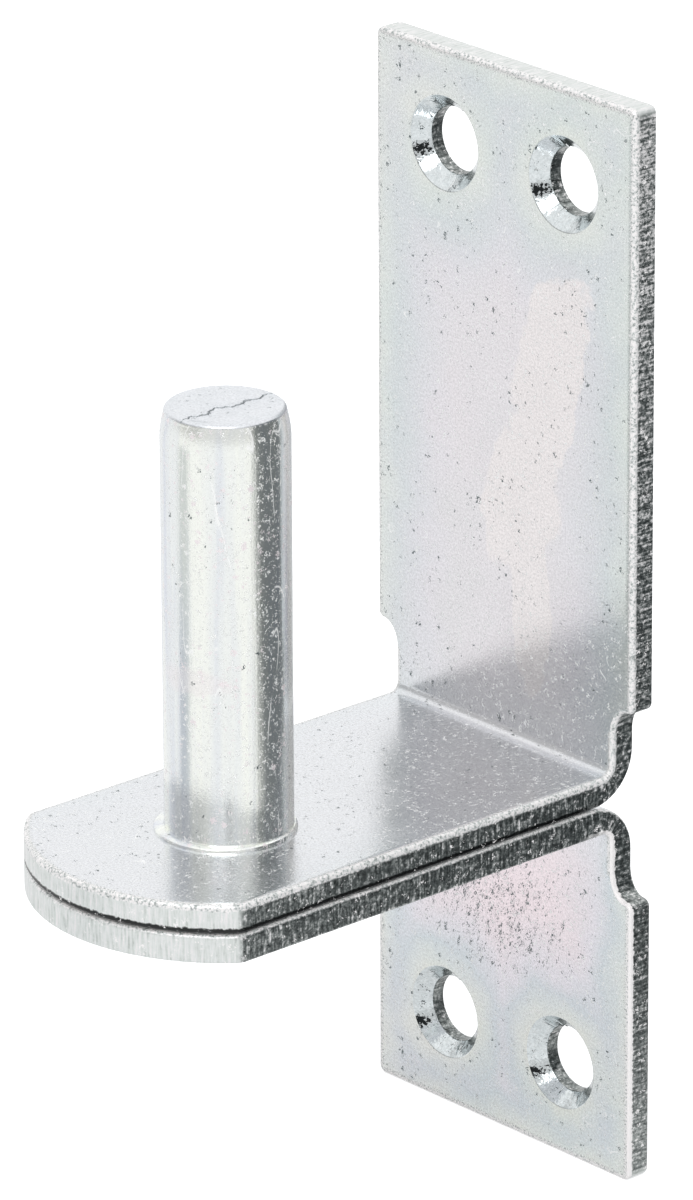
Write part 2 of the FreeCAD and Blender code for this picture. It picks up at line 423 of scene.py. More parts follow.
@dataclass(frozen=True)
class PassivatedZinc:
    """Electroplated zinc under a thin passivated film, on cold-rolled sheet.

    The film is thicker along edges and holes, so the eye sees cream and blue borders round lilac
    middles, over a soft grained mirror.
    """

    name: str
    half_width: float
    hole: Pair
    hole_radius: float
    tongue_start: float
    half_tongue: float
    nose: Pair
    film: Stops
    stains: tuple[Patch, ...] = ()
    scale_pits: Patch | None = None
    roughness: float = 0.20
    rough_spread: Pair = (-0.05, 0.07)
    mark_rough: float = 0.2
    waver: float = 6.0
    waver_range: Pair = (0.25, 0.75)
    film_waver: float = 7.0
    film_start: float = 3.0
    film_depth: float = 13.0
    film_blend: float = 2.0
    cloud: float = 20.0
    cloud_share: float = 0.35
    tongue_fade: Pair = (-6.0, 8.0)
    tongue_share: float = 0.8
    neck: Pair = (-5.0, -2.0)
    rim_blend: float = 0.6
    fall: Pair = (-0.4, 1.1)
    fall_height: float = 0.14
    granule: float = 0.22
    frost_fray: float = 1.4
    frost_border: Pair = (1.15, 1.45)
    frost_dulling: float = 0.5
    stain_soft: float = 0.06
    scar_and_dark_reflection_soft: float = 0.8
    scar_size: float = 0.46
    scar_spacing: float = 0.30
    scar_lean: float = -25.0
    scar_stretch: Triple = (1.0, 2.4, 1.0)
    frosted: Stops = ((0.34, "#808685"), (0.45, "#D8DBDA"), (0.56, "#F9F5F5"))
    clouds: Stops = ((0.30, "#DAE1E0"), (0.50, "#E3E4E7"), (0.70, "#EBE5E9"))
    tongue_tint: str = "#E6E9EC"
    stain_tint: str = "#EFEAEA"
    pit_tint: str = "#667072"
    scar_and_dark_reflection_tint: str = "#6A7072"
    mark_tint: str = "#F8F9F9"

    def film_colour(self, graph: Graph, waver: Source) -> Node:
        """Tints the film by its distance from the plate's edges and holes.

        Args:
            graph: Graph of the material.
            waver: Noise that unsettles the borders.

        Returns:
            The film's colour.
        """
        split = graph.add("SeparateXYZ", (graph.place,))
        along = split.outputs["Y"]
        across = graph.add("Math", (split.outputs["X"],), operation="ABSOLUTE")
        side = graph.add("Math", (self.half_width, across), operation="SUBTRACT")
        edge = graph.add("Math", (side, along, self.film_blend), operation="SMOOTH_MIN")
        halved = graph.add("CombineXYZ", (across, along, 0.0))
        centre = graph.add("VectorMath", (halved, (*self.hole, 0.0)), operation="DISTANCE")
        rim = graph.add("Math", (centre, self.hole_radius), operation="SUBTRACT")
        depth = graph.add("Math", (edge, rim, self.film_blend), operation="SMOOTH_MIN")
        shifted = graph.add("Math", (waver, self.film_waver, depth), operation="MULTIPLY_ADD")
        share = graph.add("MapRange", (shifted, self.film_start, self.film_start + self.film_depth))
        bordered = graph.add("ValToRGB", (share,), self.film)
        drift = graph.add(
            "TexNoise",
            {"Vector": graph.place, "Scale": 1.0 / self.cloud, "Detail": 3.0, "Distortion": 0.6},
        )
        cloudy = graph.add("ValToRGB", (drift,), self.clouds)
        mixed = graph.add("Mix", (self.cloud_share, bordered, cloudy), **COLOUR)
        first, last = (self.tongue_start + shift for shift in self.tongue_fade)
        on_tongue = graph.add("MapRange", (along, first, last, 0.0, self.tongue_share), **SMOOTH)
        return graph.add("Mix", (on_tongue, mixed, self.tongue_tint), **COLOUR)

    def rim_distance(self, graph: Graph) -> Node:
        """Measures how far each place is from the plate's rim.

        Args:
            graph: Graph of the material.

        Returns:
            The distance in millimetres.
        """
        split = graph.add("SeparateXYZ", (graph.place,))
        along = split.outputs["Y"]
        across = graph.add("Math", (split.outputs["X"],), operation="ABSOLUTE")
        first, last = (self.tongue_start + shift for shift in self.neck)
        narrow = graph.add("MapRange", (along, first, last, self.half_width, self.half_tongue))
        side = graph.add("Math", (narrow, across), operation="SUBTRACT")
        nose_run, nose_radius = self.nose
        centre = graph.add("VectorMath", (graph.place, (0.0, nose_run, 0.0)), operation="DISTANCE")
        beyond = graph.add("Math", (along, nose_run), operation="GREATER_THAN")
        tip = graph.add("Math", (nose_radius, centre), operation="SUBTRACT")
        past = graph.add("Mix", (beyond, along, tip))
        return graph.add("Math", (side, past, self.rim_blend), operation="SMOOTH_MIN")

    def rim_fall(self, graph: Graph, rim: Source) -> Node:
        """Lets the face fall away softly towards the plate's rim, as punching leaves it.

        Args:
            graph: Graph of the material.
            rim: Distance from the rim.

        Returns:
            The normal of the falling face.
        """
        rise = graph.add("MapRange", (rim, *self.fall), interpolation_type="SMOOTHERSTEP")
        return graph.add("Bump", {"Height": rise, "Distance": self.fall_height * MM})

    def frost(self, graph: Graph, rim: Source) -> tuple[Node, Node]:
        """Draws the pale granules that punching leaves along the rim.

        Args:
            graph: Graph of the material.
            rim: Distance from the rim.

        Returns:
            The mask of the frosted rim and its colour.
        """
        granules = graph.add(
            "TexNoise",
            {"Vector": graph.place, "Scale": 1.0 / self.granule, "Detail": 3.0, "Roughness": 0.65},
        )
        ragged = graph.add("Math", (granules, self.frost_fray, rim), operation="MULTIPLY_ADD")
        mask = graph.add("MapRange", (ragged, *self.frost_border, 1.0, 0.0), **SMOOTH)
        return mask, graph.add("ValToRGB", (granules,), self.frosted)

    def scars_and_dark_reflections(self, graph: Graph, waver: Source, field: Patch) -> Node:
        """Scatters leaning pits, left by mill scale, over a part of the sheet.

        Args:
            graph: Graph of the material.
            waver: Noise that breaks the field's border.
            field: Where the pits lie.

        Returns:
            The mask of the pits.
        """
        share = field.add(graph, waver, self.scar_and_dark_reflection_soft)
        lean = (0.0, 0.0, math.radians(self.scar_lean))
        drawn = graph.add(
            "Mapping", {"Vector": graph.place, "Rotation": lean, "Scale": self.scar_stretch}, **TEXTURE
        )
        leaning = replace(graph, place=drawn)
        return PlatedGrain(spot_size=self.scar_size).spots(leaning, self.scar_spacing, share)

    def make(self) -> Material:
        """Makes the material, on the flat blank's own millimetres.

        Returns:
            The material.
        """
        graph = Graph.on_blank(self.name)
        waver = graph.add(
            "TexNoise",
            {"Vector": graph.place, "Scale": 1.0 / self.waver, "Detail": 5.0, "Roughness": 0.55},
        )
        colour = self.film_colour(graph, waver)
        for stain in self.stains:
            dried = stain.add(graph, waver, self.stain_soft)
            colour = graph.add("Mix", (dried, colour, self.stain_tint), **COLOUR)
        if self.scale_pits:
            scars_and_dark_reflections = self.scars_and_dark_reflections(graph, waver, self.scale_pits)
            colour = graph.add("Mix", (scars_and_dark_reflections, colour, self.scar_and_dark_reflection_tint), **COLOUR)
        rim = self.rim_distance(graph)
        grain = PlatedGrain().add(graph, self.rim_fall(graph, rim))
        colour = grain.colour(graph, colour, self.pit_tint, self.mark_tint)
        frosted, pale = self.frost(graph, rim)
        colour = graph.add("Mix", (frosted, colour, pale), **COLOUR)
        metal = graph.add("Math", (frosted, -self.frost_dulling, grain.metal(graph)), **CLAMPED_SUM)
        least, most = (self.roughness + shift for shift in self.rough_spread)
        rough = graph.add("MapRange", (waver, *self.waver_range, least, most))
        marked = graph.add("Math", (grain.light, self.mark_rough, rough), operation="MULTIPLY_ADD")
        return graph.close(
            {"Base Color": colour, "Metallic": metal, "Roughness": marked, "Normal": grain.normal}
        )


@dataclass(frozen=True)
class ShearedEdge:
    """Punched edge of steel sheet under zinc: rolled and frosted where the punch went in, torn below.

    The frosted band gives the eye white granules. The torn one is pale and faintly streaked where
    the ends were cropped, and dark and mottled where the sides were slit.
    """

    name: str
    thickness: float
    rolled: Side
    # Colour of the band along the edge's far side. On the upper plate's tongue this band is painted shade
    # of the seam between the two tongues.
    far_tint: str
    far_start: float = 0.0
    far_past: bool = True
    far_shift: float = 0.45
    far_soft: float = 0.08
    far_fade: float = 2.0
    crop_start: float = 0.8
    crop_run: float = DEEP
    crop_fade: float = 0.3
    # Painted light: the torn band grows lighter towards the plate's free end.
    free_end_light_run: float = 1.0
    free_end_light_lift: float = 0.075
    roll: float = 0.62
    roll_border: Pair = (0.35, 0.55)
    fray: float = 0.9
    far: float = 0.56
    streak: float = 0.26
    streak_length: float = 9.0
    mottle: float = 0.5
    coarse_share: float = 0.68
    calm_share: float = 0.3
    granule: float = 0.28
    relief: float = 0.08
    fleck_spacing: float = 0.5
    fleck_share: float = 0.4
    frost_metal: float = 0.25
    crop_metal: float = 0.45
    raw_metal: float = 0.35
    raw_range: Pair = (0.52, 0.64)
    dulling: float = 0.9
    roughness: float = 0.28
    cropped: Stops = ((0.30, "#AEB2B0"), (0.42, "#D4D9D6"), (0.54, "#E2E5E4"), (0.70, "#F2EEEF"))
    slit: Stops = ((0.36, "#3A3E3D"), (0.48, "#777C7B"), (0.56, "#AEB3B1"), (0.63, "#F8F6F6"))
    frosted: Stops = ((0.34, "#959A99"), (0.45, "#D6DAD9"), (0.56, "#F9F6F6"))
    fleck_tint: str = "#F6F4F4"

    def bands(self, graph: Graph, ragged: Source) -> tuple[Node, Node]:
        """Divides the edge's thickness in bands.

        Args:
            graph: Graph of the material.
            ragged: Noise that breaks the bands' borders.

        Returns:
            Masks of the torn band and of the far rim.
        """
        split = graph.add("SeparateXYZ", (graph.place,))
        scale, start = (1.0, 0.0) if self.rolled is Side.INNER else (-1.0, self.thickness)
        depth = graph.add("Math", (split.outputs["Z"], scale, start), operation="MULTIPLY_ADD")
        border = graph.add("Math", (ragged, self.fray, depth), operation="MULTIPLY_ADD")
        first, last = (self.roll + shift for shift in self.roll_border)
        torn = graph.add("MapRange", (border, first, last), **SMOOTH)
        rest = self.thickness - self.far + self.far_shift
        far = graph.add("MapRange", (border, rest - self.far_soft, rest + self.far_soft), **SMOOTH)
        first, last = self.far_start - self.far_fade, self.far_start + self.far_fade
        ends = (0.0, far) if self.far_past else (far, 0.0)
        return torn, graph.add("MapRange", (split.outputs["Y"], first, last, *ends))

    def slit_sides(self, graph: Graph) -> Node:
        """Finds the plate's slit sides, between its free end and its nose.

        Args:
            graph: Graph of the material.

        Returns:
            The mask of the sides.
        """
        middle = (self.crop_start + self.crop_run) / 2.0
        half = (self.crop_run - self.crop_start) / 2.0
        split = graph.add("SeparateXYZ", (graph.place,))
        away = graph.add("Math", (split.outputs["Y"], middle), operation="SUBTRACT")
        distance = graph.add("Math", (away,), operation="ABSOLUTE")
        return graph.add("MapRange", (distance, half - self.crop_fade, half + self.crop_fade, 1.0, 0.0))

    def make(self) -> Material:
        """Makes the material, on the flat blank's own millimetres.

        Returns:
            The material.
        """
        graph = Graph.on_blank(self.name)
        stretch = (self.streak, self.streak, self.streak_length * self.streak)
        drawn = graph.add("Mapping", {"Vector": graph.place, "Scale": stretch}, **TEXTURE)
        streaks = graph.add("TexNoise", {"Vector": drawn, "Scale": 1.0, "Detail": 3.0})
        mottle = graph.add(
            "TexNoise",
            {"Vector": graph.place, "Scale": 1.0 / self.mottle, "Detail": 6.0, "Roughness": 0.75},
        )
        split = graph.add("SeparateXYZ", (graph.place,))
        # Painted light: lighter towards the plate's free end.
        free_end_light = graph.add("MapRange", (split.outputs["Y"], 0.0, self.free_end_light_run, self.free_end_light_lift, 0.0))
        blended = graph.add("Mix", (self.coarse_share, streaks, mottle))
        mixed = graph.add("Math", (blended, free_end_light), operation="ADD")
        calm = graph.add("Mix", (self.calm_share, streaks, mottle))
        granules = graph.add(
            "TexNoise",
            {"Vector": graph.place, "Scale": 1.0 / self.granule, "Detail": 3.0, "Roughness": 0.6},
        )
        torn, far = self.bands(graph, mottle)
        smooth = graph.add("ValToRGB", (calm,), self.cropped)
        coarse = graph.add("ValToRGB", (mixed,), self.slit)
        sides = self.slit_sides(graph)
        below = graph.add("Mix", (sides, smooth, coarse), **COLOUR)
        above = graph.add("ValToRGB", (granules,), self.frosted)
        colour = graph.add("Mix", (torn, above, below), **COLOUR)
        # Painted shade on the upper plate: the far band blackens the tongue's lower edge along the seam.
        rimmed = graph.add("Mix", (far, colour, self.far_tint), **COLOUR)
        height = graph.add("Mix", (torn, granules, mixed))
        relief = graph.add("Bump", {"Height": height, "Distance": self.relief * MM})
        flecks = PlatedGrain().spots(graph, self.fleck_spacing, self.fleck_share)
        flecked = graph.add("Mix", (flecks, rimmed, self.fleck_tint), **COLOUR)
        bared = graph.add("MapRange", (torn, 0.0, 1.0, self.frost_metal, 1.0))
        raw = graph.add("MapRange", (mixed, *self.raw_range, 1.0, self.raw_metal))
        plated = graph.add("Math", (bared, raw), operation="MULTIPLY")
        bright = graph.add("MapRange", (sides, 0.0, 1.0, self.crop_metal, plated))
        dulled = flecks
        if not self.far_past:
            dulled = graph.add("Math", (flecks, far), operation="MAXIMUM")
        metal = graph.add("Math", (dulled, -self.dulling, bright), **CLAMPED_SUM)
        return graph.close(
            {"Base Color": flecked, "Metallic": metal, "Roughness": self.roughness, "Normal": relief}
        )


@dataclass(frozen=True)
class CountersunkZinc:
    """Countersink cut by a drill and then plated: smoother than the sheet, so it mirrors sharply.

    A dark ragged patch on one side of each cone is a painted reflection of something dark, not a mark in
    the metal.
    """

    name: str
    scars_and_dark_reflections: tuple[Patch, ...]
    # Painted reflection: the near-black colour of the dark patch on each cone.
    scar_and_dark_reflection_tint: str = "#2A2D2E"
    scar_and_dark_reflection_soft: float = 0.15
    tint: str = "#E8ECED"
    shade: str = "#CDD5D7"
    pit_tint: str = "#4C5456"
    mark_tint: str = "#F4F6F6"
    grain: PlatedGrain = PlatedGrain(grain_height=0.006, pit_share=0.16, fleck_share=0.15)
    ripple: float = 0.9
    ripple_height: float = 0.035
    ripple_range: Pair = (0.3, 0.7)
    roughness: Pair = (0.03, 0.08)
    reflection_fray_rate: float = 3.0
    reflection_fray_range: Pair = (0.34, 0.66)
    reflection_fray_reach: Pair = (-0.3, 1.3)

    def make(self) -> Material:
        """Makes the material, on the flat blank's own millimetres.

        Returns:
            The material.
        """
        graph = Graph.on_blank(self.name)
        ripple = graph.add(
            "TexNoise",
            {"Vector": graph.place, "Scale": 1.0 / self.ripple, "Detail": 3.0, "Distortion": 1.2},
        )
        ground = graph.add("Mix", (ripple, self.tint, self.shade), **COLOUR)
        grain = self.grain.add(graph)
        colour = grain.colour(graph, ground, self.pit_tint, self.mark_tint)
        reflection_fray = graph.add(
            "TexNoise",
            {"Vector": graph.place, "Scale": self.reflection_fray_rate, "Detail": 3.0, "Roughness": 0.7},
        )
        broken = graph.add("MapRange", (reflection_fray, *self.reflection_fray_range, *self.reflection_fray_reach))
        # Painted reflection: a dark ragged patch on one side of each cone.
        for dark_reflection in self.scars_and_dark_reflections:
            mask = dark_reflection.add(graph, broken, self.scar_and_dark_reflection_soft)
            colour = graph.add("Mix", (mask, colour, self.scar_and_dark_reflection_tint), **COLOUR)
        relief = {"Height": ripple, "Distance": self.ripple_height * MM, "Normal": grain.normal}
        bump = graph.add("Bump", relief)
        rough = graph.add("MapRange", (ripple, *self.ripple_range, *self.roughness))
        return graph.close({"Base Color": colour, "Roughness": rough, "Normal": bump})


@dataclass(frozen=True)
class DrawnBarZinc:
    """Zinc-plated drawn bar: faint lengthwise lines, specks and pale scuffs over a soft mirror."""

    name: str
    axis: Pair
    roughness: float = 0.18
    film: Stops = ((0.34, "#DEE2EA"), (0.48, "#EEF1F1"), (0.62, "#F7F9F3"))
    band: Triple = (2.4, 2.4, 60.0)
    line: Triple = (0.45, 0.45, 18.0)
    line_height: float = 0.012
    waver: float = 1.2
    smear: Patch = Patch((1.7, -6.3, 4.0), (4.6, 2.5, 1.3), 15.0)
    smear_soft: float = 0.25
    smear_share: float = 0.4
    dab_spacing: float = 0.8
    dab_share: float = 0.45
    scuff_rough: float = 0.2
    scuff_dulling: float = 0.5
    scuff_tint: str = "#F1E9EB"
    pit_tint: str = "#6E7677"
    mark_tint: str = "#F7F8F7"
    grain: PlatedGrain = PlatedGrain(
        grain_tone=(0.97, 1.02),
        pit_share=0.04,
        fleck_share=0.85,
        hair_field=5.0,
        hair_gate=0.61,
        hair_stretch=5.0,
    )

    def make(self) -> Material:
        """Makes the material, on Object coordinates brought to millimetres from the bar's axis.

        Returns:
            The material.
        """
        graph = Graph.on_bar(self.name, self.axis)
        stretched = graph.add("Mapping", {"Vector": graph.place, "Scale": self.band}, **TEXTURE)
        bands = graph.add("TexNoise", {"Vector": stretched, "Scale": 1.0, "Detail": 3.0})
        colour = graph.add("ValToRGB", (bands,), self.film)
        waver = graph.add(
            "TexNoise",
            {"Vector": graph.place, "Scale": 1.0 / self.waver, "Detail": 4.0, "Roughness": 0.65},
        )
        rubbed = self.smear.add(graph, waver, self.smear_soft)
        gathered = self.grain.clusters(graph, self.dab_share)
        dabs = self.grain.spots(graph, self.dab_spacing, gathered)
        scuff = graph.add("Math", (rubbed, self.smear_share, dabs), **CLAMPED_SUM)
        colour = graph.add("Mix", (scuff, colour, self.scuff_tint), **COLOUR)
        grain = self.grain.add(graph)
        colour = grain.colour(graph, colour, self.pit_tint, self.mark_tint)
        fine = graph.add("Mapping", {"Vector": graph.place, "Scale": self.line}, **TEXTURE)
        lines = graph.add("TexNoise", {"Vector": fine, "Scale": 1.0})
        relief = {"Height": lines, "Distance": self.line_height * MM, "Normal": grain.normal}
        drawn = graph.add("Bump", relief)
        rough = graph.add("Math", (scuff, self.scuff_rough, self.roughness), operation="MULTIPLY_ADD")
        metal = graph.add("Math", (scuff, -self.scuff_dulling, grain.metal(graph)), **CLAMPED_SUM)
        return graph.close({"Base Color": colour, "Metallic": metal, "Roughness": rough, "Normal": drawn})


@dataclass(frozen=True)
class CroppedEnd:
    """End of the bar as the shear left it, plated over: pale and softly matt, with one ragged step edged
    by a painted shadow line.
    """

    name: str
    axis: Pair
    tear: float = 0.9
    tear_height: float = 0.14
    tear_soft: float = 0.15
    line: Pair = (0.04, 0.16)
    # Painted shade: colour of the dark line along the step.
    step_shadow_tint: str = "#A4A9AD"
    tint: str = "#ECEEF2"
    shade: str = "#DEE2E6"
    pit_tint: str = "#9AA1A3"
    mark_tint: str = "#F4F6F6"
    cloud: float = 1.6
    roughness: float = 0.30
    grain: PlatedGrain = PlatedGrain(grain_height=0.006, pit_share=0.12, fleck_share=0.06)

    def make(self) -> Material:
        """Makes the material, on Object coordinates brought to millimetres from the bar's axis.

        Returns:
            The material.
        """
        graph = Graph.on_bar(self.name, self.axis)
        clouds = graph.add("TexNoise", {"Vector": graph.place, "Scale": 1.0 / self.cloud, "Detail": 3.0})
        ground = graph.add("Mix", (clouds, self.tint, self.shade), **COLOUR)
        fall, line = self.shear(graph)
        # Painted shade: a dark line along the shear's step.
        torn = graph.add("Mix", (line, ground, self.step_shadow_tint), **COLOUR)
        grain = self.grain.add(graph, fall)
        colour = grain.colour(graph, torn, self.pit_tint, self.mark_tint)
        return graph.close({"Base Color": colour, "Roughness": self.roughness, "Normal": grain.normal})

    def shear(self, graph: Graph) -> tuple[Node, Node]:
        """Bumps the step that the shear left across the end and draws a painted shadow line along it.

        Args:
            graph: Graph of the material.

        Returns:
            The normal of the torn end and the mask of the painted shadow line.
        """
        mark = graph.add("Attribute", attribute_name=SHEAR).outputs["Fac"]
        wander = graph.add(
            "TexNoise", {"Vector": graph.place, "Scale": 1.0 / self.tear, "Detail": 4.0, "Roughness": 0.6}
        )
        past = graph.add("Math", (wander, self.tear, mark), operation="MULTIPLY_ADD")
        off = graph.add("Math", (past, self.tear / 2.0), operation="SUBTRACT")
        drop = graph.add("MapRange", (off, -self.tear_soft, self.tear_soft, 1.0, 0.0), **SMOOTH)
        fall = graph.add("Bump", {"Height": drop, "Distance": self.tear_height * MM})
        near = graph.add("Math", (off,), operation="ABSOLUTE")
        return fall, graph.add("MapRange", (near, *self.line, 1.0, 0.0))


class Workpiece:
    """A mesh that is shaped with edit-mode operators, in millimetres, from a primitive just added."""

    def __init__(self, name: str) -> None:
        """Takes the active object as the workpiece.

        Args:
            name: Name for the object and its mesh.
        """
        self.object = bpy.context.object
        self.object.name = name
        self.object.data.name = name
        bpy.ops.object.transform_apply(location=True, rotation=True, scale=True)

    @property
    def mesh(self) -> Mesh:
        """The workpiece's mesh."""
        return self.object.data

    def edit(self) -> None:
        """Opens the mesh for editing."""
        bpy.context.view_layer.objects.active = self.object
        bpy.ops.object.mode_set(mode="EDIT")

    def close(self) -> None:
        """Ends editing."""
        bpy.ops.object.mode_set(mode="OBJECT")

    def pick_edges(self, test: Callable[[Vector], bool]) -> None:
        """Selects edges in edit mode by a test of where their ends lie.

        Args:
            test: True for the end of an edge to select.
        """
        bpy.ops.mesh.select_mode(type="EDGE")
        bpy.ops.mesh.select_all(action="DESELECT")
        opened = bmesh.from_edit_mesh(self.mesh)
        for edge in opened.edges:
            if all(test(vertex.co) for vertex in edge.verts):
                edge.select_set(True)
        opened.select_flush_mode()
        bmesh.update_edit_mesh(self.mesh)

    def extrude(self, move: Triple) -> None:
        """Extrudes what is selected by a move."""
        bpy.ops.mesh.extrude_region_move(TRANSFORM_OT_translate={"value": move})

    def round_edges(self, test: Callable[[Vector], bool], radius: float, steps: int) -> None:
        """Rounds the edges that a test picks.

        Args:
            test: True for the end of an edge to round.
            radius: Radius of the rounding.
            steps: Faces across the rounding.
        """
        self.pick_edges(test)
        bpy.ops.mesh.bevel(
            offset=radius, offset_type="OFFSET", segments=steps, profile=0.5, affect="EDGES"
        )

    def cut(self, cutter: Object) -> None:
        """Takes a cutter's shape out of the workpiece and removes the cutter.

        Args:
            cutter: Closed mesh object.
        """
        modifier = self.object.modifiers.new("cut", "BOOLEAN")
        modifier.operation = "DIFFERENCE"
        modifier.solver = "EXACT"
        modifier.object = cutter
        bpy.context.view_layer.objects.active = self.object
        bpy.ops.object.modifier_apply(modifier=modifier.name)
        bpy.data.objects.remove(cutter, do_unlink=True)

    def settle(self, sharp: float) -> None:
        """Merges doubles, turns faces outwards and shades the mesh with even flats.

        Args:
            sharp: Angle in degrees above which an edge stays sharp.
        """
        self.edit()
        bpy.ops.mesh.select_all(action="SELECT")
        bpy.ops.mesh.remove_doubles(threshold=MERGE)
        bpy.ops.mesh.normals_make_consistent(inside=False)
        self.close()
        bpy.ops.object.select_all(action="DESELECT")
        self.object.select_set(True)
        bpy.ops.object.shade_smooth_by_angle(angle=math.radians(sharp))
        even = self.object.modifiers.new("even_flats", "WEIGHTED_NORMAL")
        even.keep_sharp = True
        even.weight = FLAT_WEIGHT
        bpy.ops.object.modifier_apply(modifier=even.name)


def add_cylinder(radius: float, low: float, high: float, place: Pair) -> Object:
    """Adds an upright round cutter.

    Args:
        radius: Radius in millimetres.
        low: Height of its lower end.
        high: Height of its upper end.
        place: Where its axis stands.

    Returns:
        The cutter.
    """
    bpy.ops.object.select_all(action="DESELECT")
    bpy.ops.mesh.primitive_cylinder_add(
        vertices=HOLE_FACETS,
        radius=radius,
        depth=high - low,
        location=(place[0], place[1], (low + high) / 2.0),
    )
    return bpy.context.object


@dataclass(frozen=True)
class SheetSizes:
    """Sizes that both plates share, in millimetres."""

    thickness: float = 3.0
    wing_width: float = 38.0
    tongue_width: float = 32.4
    shoulder_height: float = 7.2
    bend_inside: float = 1.0
    bend_outside: float = 5.5
    pin_offset: float = 40.0
    nose_radius: float = 20.5
    nose_ease: float = 0.7
    hole_diameter: float = 7.0
    countersink_diameter: float = 10.0
    hole_pitch: float = 17.5
    hole_edge: float = 10.0
    rivet_diameter: float = 10.2
    corner: float = 0.8
    roll: float = 0.5
    burr: float = 0.3
    rim: float = 0.12
    bend_run: float = 6.0
    bend_steps: int = 16
    corner_steps: int = 6
    shoulder_steps: int = 10
    ease_steps: int = 6
    nose_steps: int = 24
    roll_steps: int = 5
    rim_steps: int = 2


